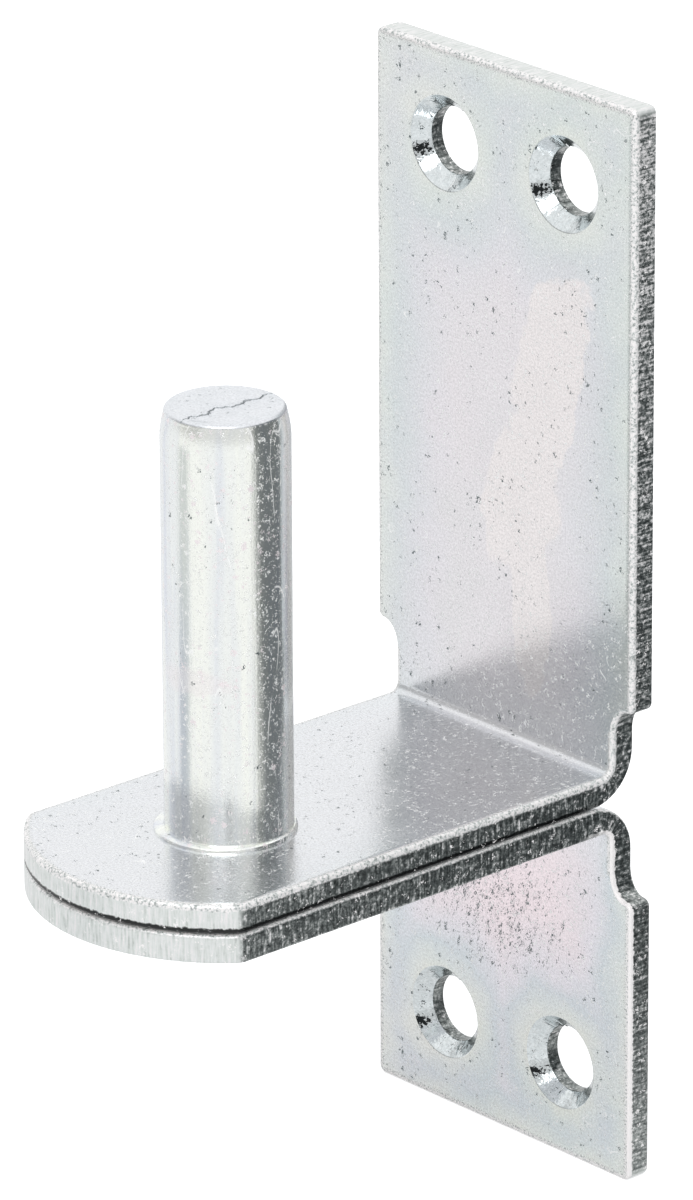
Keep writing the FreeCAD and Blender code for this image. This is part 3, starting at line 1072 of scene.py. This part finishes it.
@dataclass
class BentPlate:
    """A plate punched from sheet, countersunk and folded once; the blank is flat, in millimetres.

    On the blank, x runs across the plate, y runs from the wing's free end to the nose, and z goes
    through the sheet from its inner side.
    """

    name: str
    node: str
    turn: Turn
    rolled: Side
    sizes: SheetSizes
    film: Stops
    far_tint: str
    frost_band: float
    # Painted light on the sheared edges towards the plate's free end.
    free_end_light_lift: float
    # Shift along the blank of the painted dark reflection on each countersink.
    reflection_drop: float
    stains: tuple[Patch, ...] = ()
    scale_pits: Patch | None = None
    # Place and size of the painted dark reflection on each countersink.
    reflection_side: float = 4.2
    reflection_depth: float = 0.7
    reflection_half: Triple = (0.9, 0.46, 3.0)
    free_end_light_share: float = 1.25
    bore_tint: str = "#5F6464"
    bore_roll: float = -0.2

    def __post_init__(self) -> None:
        """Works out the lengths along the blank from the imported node's box."""
        low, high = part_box(self.node)
        sizes = self.sizes
        if self.turn is Turn.UP:
            wing_end = high.z / MM
            self.seat = low.z / MM + sizes.thickness
        else:
            wing_end = low.z / MM
            self.seat = high.z / MM - sizes.thickness
        self.reach = abs(wing_end - self.seat)
        self.bend_start = self.reach - (sizes.bend_outside - sizes.thickness)
        self.bend_end = self.bend_start + sizes.bend_run
        self.rivet_run = self.bend_end + sizes.pin_offset - sizes.bend_outside
        self.holes = [(side * sizes.hole_pitch / 2.0, sizes.hole_edge) for side in (-1.0, 1.0)]

    def nose_point(self, angle: float) -> Pair:
        """The point of the nose's arc at an angle from the plate's middle line."""
        radius = self.sizes.nose_radius
        return (radius * math.sin(angle), self.rivet_run + radius * math.cos(angle))

    def half_outline(self) -> list[Pair]:
        """Draws the blank's right half from its free end to its nose.

        Returns:
            Points across and along the blank.
        """
        sizes = self.sizes
        corner = sizes.corner
        half_wing = sizes.wing_width / 2.0
        half_tongue = sizes.tongue_width / 2.0
        shoulder = self.reach - sizes.shoulder_height
        step = half_wing - half_tongue
        inner = half_wing - corner
        rounding = quarter_turn(sizes.corner_steps)
        points = [(inner + corner * s, corner * (1.0 - c)) for s, c in rounding]
        points += [(inner + corner * c, shoulder - corner * (1.0 - s)) for s, c in rounding]
        for s, c in quarter_turn(sizes.shoulder_steps)[1:]:
            points.append((inner - (inner - half_tongue) * s, shoulder + step * (1.0 - c)))
        cheek = math.asin(half_tongue / sizes.nose_radius)
        cheek_run = self.nose_point(cheek)[1]
        landing = cheek - sizes.nose_ease / sizes.nose_radius
        first = Vector((half_tongue, cheek_run - sizes.nose_ease))
        peak = Vector((half_tongue, cheek_run))
        last = Vector(self.nose_point(landing))
        for k in range(sizes.ease_steps):
            t = k / sizes.ease_steps
            points.append(tuple(first.lerp(peak, t).lerp(peak.lerp(last, t), t)))
        for k in range(sizes.nose_steps + 1):
            points.append(self.nose_point(landing * (1.0 - k / sizes.nose_steps)))
        return points

    def punch(self) -> Workpiece:
        """Punches the flat blank: outline, thickness, rolled edges, holes and bend lines.

        Returns:
            The flat workpiece.
        """
        sizes = self.sizes
        right = self.half_outline()
        left = [(-across, along) for across, along in reversed(right[:-1])]
        outline = right + left
        bpy.ops.object.select_all(action="DESELECT")
        bpy.ops.mesh.primitive_circle_add(vertices=len(outline), fill_type="NGON")
        piece = Workpiece(self.name)
        inner, outer = sizes.roll, sizes.burr
        if self.rolled is Side.OUTER:
            inner, outer = outer, inner
        for vertex, (across, along) in zip(piece.mesh.vertices, outline):
            vertex.co = (across, along, 0.0)
        piece.edit()
        bpy.ops.mesh.select_all(action="SELECT")
        piece.extrude((0.0, 0.0, sizes.thickness))
        bpy.ops.mesh.select_all(action="SELECT")
        bpy.ops.mesh.normals_make_consistent(inside=False)
        top = sizes.thickness - HAIR
        piece.round_edges(lambda point: point.z < HAIR, inner, sizes.roll_steps)
        piece.round_edges(lambda point: point.z > top, outer, sizes.roll_steps)
        piece.close()
        self.drill(piece)
        piece.edit()
        for k in range(sizes.bend_steps + 1):
            line = self.bend_start + sizes.bend_run * k / sizes.bend_steps
            bpy.ops.mesh.select_all(action="SELECT")
            bpy.ops.mesh.bisect(plane_co=(0.0, line, 0.0), plane_no=(0.0, 1.0, 0.0), threshold=CUT_SLACK)
        piece.close()
        return piece

    def drill(self, piece: Workpiece) -> None:
        """Cuts the screw holes, their countersinks and the rivet hole, and eases their rims.

        Args:
            piece: Flat workpiece.
        """
        sizes = self.sizes
        proud = 1.0
        hole = sizes.hole_diameter / 2.0
        sink = sizes.countersink_diameter / 2.0
        for place in self.holes:
            piece.cut(add_cylinder(hole, -proud, sizes.thickness + proud, place))
            bpy.ops.object.select_all(action="DESELECT")
            bpy.ops.mesh.primitive_cone_add(
                vertices=HOLE_FACETS,
                radius1=sink + proud,
                radius2=hole - proud,
                depth=sink - hole + 2.0 * proud,
                location=(place[0], place[1], (sink - hole) / 2.0),
            )
            piece.cut(bpy.context.object)
        rivet = (0.0, self.rivet_run)
        piece.cut(add_cylinder(sizes.rivet_diameter / 2.0, -proud, sizes.thickness + proud, rivet))
        piece.edit()
        for depth, radius in ((0.0, sink), (sink - hole, hole), (sizes.thickness, hole)):
            piece.round_edges(
                lambda point, d=depth, r=radius: self.on_ring(point, d, r), sizes.rim, sizes.rim_steps
            )
        piece.close()

    def from_hole(self, point: Vector) -> float:
        """The distance of a point of the blank from the nearer screw hole's axis."""
        return min(math.hypot(point.x - x, point.y - y) for x, y in self.holes)

    def on_ring(self, point: Vector, depth: float, radius: float) -> bool:
        """True for a point of the blank on one of a screw hole's rings."""
        return abs(point.z - depth) < RING_SLACK and abs(self.from_hole(point) - radius) < RING_SLACK

    def fold_point(self, point: Vector) -> Vector:
        """Carries a point of the flat blank to its place on the folded plate.

        Args:
            point: Across, along and through the blank, in millimetres.

        Returns:
            The place in the row frame, in metres.
        """
        sizes = self.sizes
        along, through = point.y, point.z
        if along <= self.bend_start:
            out, rise = through - sizes.thickness, self.reach - along
        elif along >= self.bend_end:
            out, rise = -(sizes.bend_outside + along - self.bend_end), -through
        else:
            share = (along - self.bend_start) / sizes.bend_run
            angle = RIGHT_ANGLE * share
            radius = sizes.bend_outside
            top = radius - sizes.thickness
            outer = Vector((-radius * (1.0 - math.cos(angle)), top - radius * math.sin(angle)))
            out, rise = self.inner_bend(share).lerp(outer, through / sizes.thickness)
        return Vector((point.x, out, self.seat + self.turn.value * rise)) * MM

    def inner_bend(self, share: float) -> Vector:
        """Follows the inside of the bend.

        Args:
            share: How far round the bend, from 0 at the wing to 1 at the tongue.

        Returns:
            Distance out from the wall and rise above the tongue.
        """
        sizes = self.sizes
        radius = sizes.bend_inside
        straight = sizes.bend_outside - sizes.thickness - radius
        lead = 2.0 / sizes.bend_steps
        start = -sizes.thickness
        if share <= lead:
            return Vector((start, radius + straight * (1.0 - share / lead)))
        if share >= 1.0 - lead:
            return Vector((start - radius - straight * (share - 1.0 + lead) / lead, 0.0))
        angle = RIGHT_ANGLE * (share - lead) / (1.0 - 2.0 * lead)
        return Vector((start - radius * (1.0 - math.cos(angle)), radius * (1.0 - math.sin(angle))))

    def sort_faces(self, piece: Workpiece) -> None:
        """Gives each face of the flat blank its finish: sheet, sheared edge, countersink or bore.

        Args:
            piece: Flat workpiece.
        """
        hole = self.sizes.hole_diameter / 2.0
        sink = self.sizes.countersink_diameter / 2.0
        level = 0.97
        around = sink + 0.3
        within = hole - 0.05
        for face in piece.mesh.polygons:
            near = self.from_hole(face.center)
            if abs(face.normal.z) > level:
                face.material_index = Finish.SHEET.value
            elif near > around:
                face.material_index = Finish.EDGE.value
            elif face.center.z < sink - hole and near > within:
                face.material_index = Finish.SINK.value
            else:
                face.material_index = Finish.BORE.value

    def add_finishes(self, piece: Workpiece) -> None:
        """Adds the finishes of sheet, sheared edge, countersinks and bores.

        Args:
            piece: Flat workpiece.
        """
        sizes = self.sizes
        sheet = PassivatedZinc(
            name=f"zinc_sheet_{self.node}",
            half_width=sizes.wing_width / 2.0,
            hole=self.holes[1],
            hole_radius=sizes.countersink_diameter / 2.0,
            tongue_start=self.bend_start,
            half_tongue=sizes.tongue_width / 2.0,
            nose=(self.rivet_run, sizes.nose_radius),
            film=self.film,
            stains=self.stains,
            scale_pits=self.scale_pits,
        )
        edge = ShearedEdge(
            name=f"sheared_edge_{self.node}",
            thickness=sizes.thickness,
            rolled=self.rolled,
            far_tint=self.far_tint,
            roll=self.frost_band,
            far_start=self.bend_end,
            far_past=self.rolled is Side.INNER,
            free_end_light_run=self.free_end_light_share * self.bend_end,
            free_end_light_lift=self.free_end_light_lift,
            crop_run=self.rivet_run + math.sqrt(sizes.nose_radius**2 - sizes.tongue_width**2 / 4.0),
        )
        # Painted reflections: a dark patch to one side of each countersink.
        drop = self.reflection_drop * self.turn.value
        places = [(x - self.reflection_side, y + drop, self.reflection_depth) for x, y in self.holes]
        scars_and_dark_reflections = tuple(Patch(place, self.reflection_half) for place in places)
        sink = CountersunkZinc(f"countersunk_zinc_{self.node}", scars_and_dark_reflections)
        bore = ShearedEdge(
            name=f"punched_bore_{self.node}",
            thickness=sizes.thickness,
            rolled=Side.OUTER,
            far_tint=self.bore_tint,
            roll=self.bore_roll,
        )
        for finish in (sheet, edge, sink, bore):
            piece.mesh.materials.append(finish.make())

    def build(self) -> Object:
        """Punches, folds and dresses the plate.

        Returns:
            The finished plate.
        """
        piece = self.punch()
        self.add_finishes(piece)
        self.sort_faces(piece)
        flat = [vertex.co.copy() for vertex in piece.mesh.vertices]
        places = piece.mesh.attributes.new(BLANK, "FLOAT_VECTOR", "POINT")
        for value, point in zip(places.data, flat):
            value.vector = point
        for vertex, point in zip(piece.mesh.vertices, flat):
            vertex.co = self.fold_point(point)
        piece.settle(sharp=32.0)
        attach(piece.object, BODY)
        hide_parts(self.node)
        return piece.object


@dataclass
class RivetedPin:
    """Cropped round bar with a shank riveted under the tongues, in millimetres above the seat."""

    name: str = "riveted_pin"
    node: str = "hinge_pin"
    axis: Pair = (0.0, -40.0)
    seat: float = -13.5
    diameter: float = 13.0
    height: float = 44.5
    crop_length: float = 3.0
    crop_inset: float = 0.4
    crop_bow: float = 1.6
    end_edge: float = 0.45
    end_depth: float = 0.3
    ring_radius: float = 7.2
    ring_height: float = 0.5
    ring_shift: Pair = (-0.22, -0.30)
    ring_lip: float = 0.15
    ring_base: float = 0.25
    ring_fillet: Pair = (0.03, 0.1)
    ring_ripple: float = 0.07
    ripple_rate: float = 2.6
    ripple_seed: float = 0.8
    shank_diameter: float = 10.0
    grip: float = 6.2
    head_diameter: float = 15.0
    head_height: float = 2.2
    head_rim: float = 0.9
    head_face: float = 9.0
    head_ease: float = 0.15
    shear_line: float = 0.3
    shear_step: float = 0.25
    shear_run: float = 0.9
    shear_rim: float = 0.5
    shear_margin: float = 0.8
    shear_healing: float = 3.0
    shear_waves: tuple[tuple[float, float, Pair], ...] = (
        (0.9, 0.45, (0.0, 3.1)),
        (0.25, 1.9, (5.0, 1.7)),
    )
    body_rings: Triple = (0.25, 0.5, 0.75)
    facets: int = 192
    dome_steps: int = 8
    ring_steps: int = 6
    crop_steps: int = 8
    edge_steps: int = 5
    end_cells: int = 48

    def profile(self) -> list[Pair]:
        """Lists the bar's radius at each height, from the riveted head to the cropped end.

        Returns:
            Radius and height of each ring after the head's face.
        """
        head = self.head_diameter / 2.0
        face = self.head_face / 2.0
        shank = self.shank_diameter / 2.0
        under = -self.grip
        crown = self.head_height - self.head_rim
        dome = quarter_turn(self.dome_steps)[1:]
        rings = [(face + (head - face) * s, under - self.head_rim - crown * c) for s, c in dome]
        rings += [(head, under - self.head_ease), (head - self.head_ease, under)]
        rings += [(shank, under), (shank, 0.0)]
        body = self.diameter / 2.0
        bead = self.ring_radius - body
        rings.append((body + bead, 0.0))
        for s, c in quarter_turn(self.ring_steps)[1:]:
            spread = self.ring_lip + (1.0 - self.ring_lip) * c
            rise = self.ring_base + (1.0 - self.ring_base) * s
            rings.append((body + bead * spread, self.ring_height * rise))
        out, over = self.ring_fillet
        rings += [(body + out, self.ring_height), (body, self.ring_height + over)]
        rings += [(body, self.height * share) for share in self.body_rings]
        start = self.height - self.crop_length
        edge = self.end_edge
        for k in range(self.crop_steps + 1):
            share = k / self.crop_steps
            drawn_in = self.crop_inset * share**self.crop_bow
            rings.append((body - drawn_in, start + (self.crop_length - edge) * share))
        drawn = body - self.crop_inset - edge
        last = quarter_turn(self.edge_steps)[1:]
        rings += [(drawn + edge * c, self.height - edge * (1.0 - s)) for s, c in last]
        return rings

    def turn_bar(self) -> Workpiece:
        """Raises the bar ring by ring from its riveted head and closes its end with a fine grid.

        Returns:
            The bar, upright on the seat's height.
        """
        radius = self.head_face / 2.0
        height = -self.grip - self.head_height
        bpy.ops.object.select_all(action="DESELECT")
        bpy.ops.mesh.primitive_circle_add(
            vertices=self.facets, radius=radius, fill_type="NGON", location=(0.0, 0.0, height)
        )
        piece = Workpiece(self.name)
        piece.edit()
        bpy.ops.mesh.select_all(action="SELECT")
        for next_radius, next_height in self.profile():
            piece.extrude((0.0, 0.0, next_height - height))
            scale = next_radius / radius
            bpy.ops.transform.resize(value=(scale, scale, 1.0), center_override=(0.0, 0.0, next_height))
            radius, height = next_radius, next_height
        bpy.ops.mesh.delete(type="ONLY_FACE")
        top = self.height - HAIR
        piece.pick_edges(lambda point: point.z > top)
        bpy.ops.mesh.fill_grid(span=self.end_cells)
        piece.close()
        return piece

    def shear_end(self, piece: Workpiece) -> None:
        """Leaves the shear's step across the bar's end and marks how far each point is past it.

        Args:
            piece: The bar.
        """
        rim = self.diameter / 2.0 - self.crop_inset - self.shear_rim
        marks = piece.mesh.attributes.new(SHEAR, "FLOAT", "POINT")
        for vertex, mark in zip(piece.mesh.vertices, marks.data):
            point = vertex.co
            ragged = 0.0
            for height, rate, (seed, other) in self.shear_waves:
                ragged += height * noise.noise(Vector((seed, point.y * rate, other)))
            mark.value = point.x - self.shear_line - ragged
            if point.z < self.height - HAIR:
                continue
            inside = min(1.0, max(0.0, (rim - point.xy.length) / self.shear_margin))
            torn = min(1.0, max(0.0, mark.value / self.shear_run + 0.5))
            healed = min(1.0, max(0.0, (mark.value - self.shear_run) / self.shear_healing))
            vertex.co.z -= self.shear_step * torn * inside * (1.0 - healed)

    def squeeze_ring(self, piece: Workpiece) -> None:
        """Pushes the ring at the foot to one side, as the riveting left it, with a ripple.

        Args:
            piece: The bar.
        """
        body = self.diameter / 2.0
        clear = 0.04
        rate = self.ripple_rate
        for vertex in piece.mesh.vertices:
            point = vertex.co
            spread = (point.xy.length - body - clear) / (self.ring_radius - body)
            if spread <= 0.0 or not -HAIR <= point.z <= self.ring_height + HAIR:
                continue
            around = point.xy.normalized()
            wave = noise.noise(Vector((around.x * rate, around.y * rate, self.ripple_seed)))
            ripple = self.ring_ripple * wave
            vertex.co.x += (self.ring_shift[0] + ripple * around.x) * spread
            vertex.co.y += (self.ring_shift[1] + ripple * around.y) * spread

    def build(self) -> Object:
        """Makes and dresses the pin.

        Returns:
            The finished pin.
        """
        piece = self.turn_bar()
        self.shear_end(piece)
        self.squeeze_ring(piece)
        bar = DrawnBarZinc("zinc_drawn_bar", self.axis)
        end = CroppedEnd("zinc_cropped_end", self.axis)
        for finish in (bar, end):
            piece.mesh.materials.append(finish.make())
        rim = self.height - self.end_depth
        for face in piece.mesh.polygons:
            face.material_index = 1 if face.center.z > rim else 0
        place = Vector((self.axis[0], self.axis[1], self.seat))
        piece.mesh.transform(Matrix.Scale(MM, 4) @ Matrix.Translation(place))
        piece.settle(sharp=38.0)
        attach(piece.object, BODY)
        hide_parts(self.node)
        return piece.object


@dataclass(frozen=True)
class Card:
    """A card with a soft border that only the metal sees; its sizes and place are in metres."""

    name: str
    tint: str
    corners: tuple[Pair, ...]
    border: float

    def set(self, place: Matrix) -> None:
        """Sets the card up.

        Args:
            place: Where the card's own plane lies.
        """
        bpy.ops.object.select_all(action="DESELECT")
        bpy.ops.mesh.primitive_circle_add(vertices=len(self.corners), fill_type="NGON")
        card = bpy.context.object
        card.name = self.name
        for vertex, (x, y) in zip(card.data.vertices, self.corners):
            vertex.co = (x, y, 0.0)
        bpy.ops.object.mode_set(mode="EDIT")
        bpy.ops.mesh.select_all(action="SELECT")
        bpy.ops.mesh.inset(thickness=self.border)
        bpy.ops.object.mode_set(mode="OBJECT")
        cover = card.data.attributes.new(COVER, "FLOAT", "POINT")
        for value, vertex in zip(cover.data, card.data.vertices):
            value.value = float(vertex.select)
        card.data.transform(place)
        graph = Graph.start(self.name)
        covered = graph.add("Attribute", attribute_name=COVER).outputs["Fac"]
        clear = graph.add("BsdfTransparent")
        even = graph.add("Emission", {"Color": self.tint})
        faded = graph.add("MixShader", (covered, clear, even))
        graph.add("OutputMaterial", {"Surface": faded})
        card.data.materials.append(graph.material)
        card.visible_camera = False
        card.visible_diffuse = False
        card.visible_shadow = False
        card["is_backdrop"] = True


@dataclass
class Studio:
    """A pale floor, white sweeps, a dimmer room, a soft lamp and cards; its lengths are in metres."""

    floor_size: float = 6.0
    floor_tint: str = "#EDEEEF"
    floor_lift: float = 0.50
    floor_gloss: float = 1.0
    floor_even: float = 0.6
    sweep: float = 1.04
    sweep_range: Pair = (0.15, 0.75)
    above_range: Pair = (0.44, 0.58)
    room: float = 0.56
    front: float = 0.76
    front_range: Pair = (-0.55, -0.75)
    key_power: float = 4.5
    key_size: float = 0.9
    key_place: Triple = (0.55, -0.75, 1.05)
    lens: float = 0.095
    lens_border: float = 0.095 / 6.0
    lens_tint: str = "#101112"
    lens_facets: int = 24
    lens_back: float = 0.02
    cards: tuple[Card, ...] = (
        Card(
            "dark_card",
            "#727678",
            (
                (-0.045, 0.0),
                (0.0205, -0.004),
                (0.10, -0.036),
                (0.38, -0.015),
                (0.29, 0.23),
                (0.10, 0.36),
                (-0.045, 0.28),
            ),
            0.05,
        ),
        Card(
            "grey_card",
            "#D3D7D9",
            ((-0.030, -0.110), (-0.115, -0.40), (-0.25, -0.34), (-0.060, -0.090)),
            0.006,
        ),
    )
    flag: Card = Card(
        "standing_flag", "#727678", ((0.0, 0.0), (0.40, 0.0), (0.40, 0.34), (0.0, 0.34)), 0.05
    )
    flag_place: Triple = (0.34, -0.015, -0.03)
    flag_turn: float = 127.0

    def build(self) -> None:
        """Sets the whole stage."""
        self.lay_floor()
        self.light_world()
        self.hang_key()
        just_over = Matrix.Translation((0.0, 0.0, CAD_BOX[0].z + MM))
        for card in self.cards:
            card.set(just_over)
        turned = Matrix.Rotation(math.radians(self.flag_turn), 4, "Z")
        upright = turned @ Matrix.Rotation(RIGHT_ANGLE, 4, "X")
        self.flag.set(just_over @ Matrix.Translation(self.flag_place) @ upright)
        self.hide_lens()

    def hide_lens(self) -> None:
        """Stands a dark lens just behind the camera, which the countersinks mirror."""
        turns = [2.0 * math.pi * k / self.lens_facets for k in range(self.lens_facets)]
        ring = tuple((self.lens * math.cos(turn), self.lens * math.sin(turn)) for turn in turns)
        camera = PhotoCamera()
        behind = Matrix.Translation(camera.back() * self.lens_back)
        Card("dark_lens", self.lens_tint, ring, self.lens_border).set(behind @ camera.matrix())

    def lay_floor(self) -> None:
        """Lays the floor under the object: white to the eye, with the object's soft shadow."""
        low = CAD_BOX[0].z
        bpy.ops.object.select_all(action="DESELECT")
        bpy.ops.mesh.primitive_plane_add(size=self.floor_size, location=(0.0, 0.0, low))
        floor = bpy.context.object
        floor.name = "floor"
        graph = Graph.start("white_paper_floor")
        ray = graph.add("LightPath").outputs
        mirrored = graph.add(
            "Math", (ray["Is Glossy Ray"], ray["Is Transmission Ray"]), operation="ADD", use_clamp=True
        )
        evened = graph.add("Math", (mirrored, self.floor_even), operation="MULTIPLY")
        lift = graph.add("Math", (ray["Is Camera Ray"], self.floor_lift), operation="MULTIPLY")
        paper = graph.add("BsdfDiffuse", {"Color": self.floor_tint})
        glow = graph.add("Emission", {"Strength": lift})
        seen = graph.add("AddShader", (paper, glow))
        plain = graph.add("Emission", {"Strength": self.floor_gloss})
        both = graph.add("MixShader", (evened, seen, plain))
        graph.add("OutputMaterial", {"Surface": both})
        floor.data.materials.append(graph.material)
        floor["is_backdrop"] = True

    def light_world(self) -> None:
        """Lights the scene from white sweeps behind, above and beside the camera, in a dimmer room."""
        world = bpy.data.worlds.new("studio")
        bpy.context.scene.world = world
        world.use_nodes = True
        graph = Graph(world.node_tree)
        graph.tree.nodes.clear()
        ray = graph.add("LightPath").outputs
        place = graph.add("TexCoord").outputs["Generated"]
        ahead = tuple(-PhotoCamera().level_back())
        away = graph.add("VectorMath", (place, ahead), operation="DOT_PRODUCT")
        level = graph.add("MapRange", (away, *self.sweep_range, self.room, self.sweep), **SMOOTH)
        split = graph.add("SeparateXYZ", (place,))
        above = graph.add("MapRange", (split.outputs["Z"], *self.above_range, 0.0, self.sweep), **SMOOTH)
        front = graph.add("MapRange", (away, *self.front_range, 0.0, self.front), **SMOOTH)
        lit = level
        for light in (above, front, ray["Is Camera Ray"]):
            lit = graph.add("Math", (lit, light), operation="MAXIMUM")
        back = graph.add("Background", {"Color": "#FFFFFF", "Strength": lit})
        graph.add("OutputWorld", {"Surface": back})

    def hang_key(self) -> None:
        """Hangs one large soft lamp over the camera's right."""
        lamp = bpy.data.lights.new("key", "AREA")
        lamp.shape = "DISK"
        lamp.size = self.key_size
        lamp.energy = self.key_power
        key = bpy.data.objects.new("key", lamp)
        key.location = self.key_place
        key.rotation_euler = (-Vector(self.key_place)).to_track_quat("-Z", "Y").to_euler()
        bpy.context.scene.collection.objects.link(key)


@dataclass(frozen=True)
class PhotoCamera:
    """The photographer's camera: angles in degrees, lengths in metres, picture in pixels."""

    azimuth: float = 48.295
    elevation: float = 21.122
    roll: float = -0.284
    distance: float = 0.94966
    aim_right: float = -0.018149
    aim_up: float = 0.012704
    aim_height: float = -0.0135
    focal_pixels: float = 9293.2
    picture_height: float = 1200.0
    sensor: float = 36.0
    nearest: float = 0.01
    farthest: float = 100.0

    def level_back(self) -> Vector:
        """The level direction from the object towards the camera."""
        turn = math.radians(self.azimuth)
        return Vector((math.sin(turn), -math.cos(turn), 0.0))

    def back(self) -> Vector:
        """The direction from the object up to the camera."""
        rise = math.radians(self.elevation)
        return self.level_back() * math.cos(rise) + Vector((0.0, 0.0, math.sin(rise)))

    def matrix(self) -> Matrix:
        """Works out where the camera stands and how it is turned.

        Returns:
            The camera's matrix.
        """
        tilt = math.radians(self.roll)
        back = self.back()
        level = Vector((0.0, 0.0, 1.0)).cross(self.level_back())
        upright = back.cross(level)
        right = level * math.cos(tilt) + upright * math.sin(tilt)
        up = upright * math.cos(tilt) - level * math.sin(tilt)
        aim = right * self.aim_right + up * self.aim_up + Vector((0.0, 0.0, self.aim_height))
        turned = Matrix((right, up, back)).transposed().to_4x4()
        return Matrix.Translation(aim + back * self.distance) @ turned

    def place(self) -> None:
        """Makes the camera and gives it to the scene."""
        lens = bpy.data.cameras.new("photo_camera")
        lens.sensor_fit = "AUTO"
        lens.sensor_width = self.sensor
        lens.lens = self.focal_pixels / self.picture_height * self.sensor
        lens.clip_start = self.nearest
        lens.clip_end = self.farthest
        camera = bpy.data.objects.new("photo_camera", lens)
        camera.matrix_world = self.matrix()
        bpy.context.scene.collection.objects.link(camera)
        bpy.context.scene.camera = camera


def write_sizes() -> None:
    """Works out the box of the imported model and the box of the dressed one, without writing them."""
    boxes = {"cad": CAD_BOX, "visual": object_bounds()}
    plain = {name: [list(corner) for corner in box] for name, box in boxes.items()}


def main() -> None:
    """Builds the pieces, the stage and the camera in order."""
    logging.basicConfig(level=logging.INFO, format="%(name)s: %(message)s")
    sizes = SheetSizes()
    upper = BentPlate(
        name="upper_bent_plate",
        node="upper_plate",
        turn=Turn.UP,
        rolled=Side.INNER,
        sizes=sizes,
        film=(
            (0.02, "#E7EBE3"),
            (0.12, "#E0E7E2"),
            (0.30, "#D8DFE1"),
            (0.50, "#E0E1E6"),
            (0.72, "#E8E4E9"),
            (0.95, "#EAE5E8"),
        ),
        # Painted shade: black along the upper tongue's lower edge, where the seam between the tongues lies
        # in shadow.
        far_tint="#1D1F1F",
        frost_band=0.62,
        # Painted light: the sheared edges lighten towards the wing's free end.
        free_end_light_lift=0.085,
        # Shift of the painted dark reflections on the countersinks.
        reflection_drop=1.7,
        stains=(
            Patch((7.0, 30.0, 0.0), (4.6, 11.5, DEEP), 14.0),
            Patch((2.6, 44.5, 0.0), (5.2, 8.5, DEEP), 4.0),
            Patch((4.2, 56.0, 0.0), (3.1, 9.0, DEEP)),
        ),
    )
    lower = BentPlate(
        name="lower_bent_plate",
        node="lower_plate",
        turn=Turn.DOWN,
        rolled=Side.OUTER,
        sizes=sizes,
        film=(
            (0.02, "#E6E8DF"),
            (0.13, "#DEE4E1"),
            (0.27, "#CFD8DE"),
            (0.45, "#E8E3EB"),
            (0.68, "#F2E4EA"),
            (0.92, "#FAE7EC"),
        ),
        far_tint="#F8F5F5",
        frost_band=0.22,
        # Painted light: the sheared edges lighten towards the wing's free end.
        free_end_light_lift=0.02,
        # Shift of the painted dark reflections on the countersinks.
        reflection_drop=2.4,
        scale_pits=Patch((-2.5, 25.0, 0.0), (9.0, 5.5, DEEP)),
    )
    for part in (upper, lower, RivetedPin()):
        piece = part.build()
        LOG.info("%s has %d faces", piece.name, len(piece.data.polygons))
    Studio().build()
    PhotoCamera().place()
    bpy.context.scene.view_settings.view_transform = "Standard"
    write_sizes()


if __name__ == "__main__":
    main()
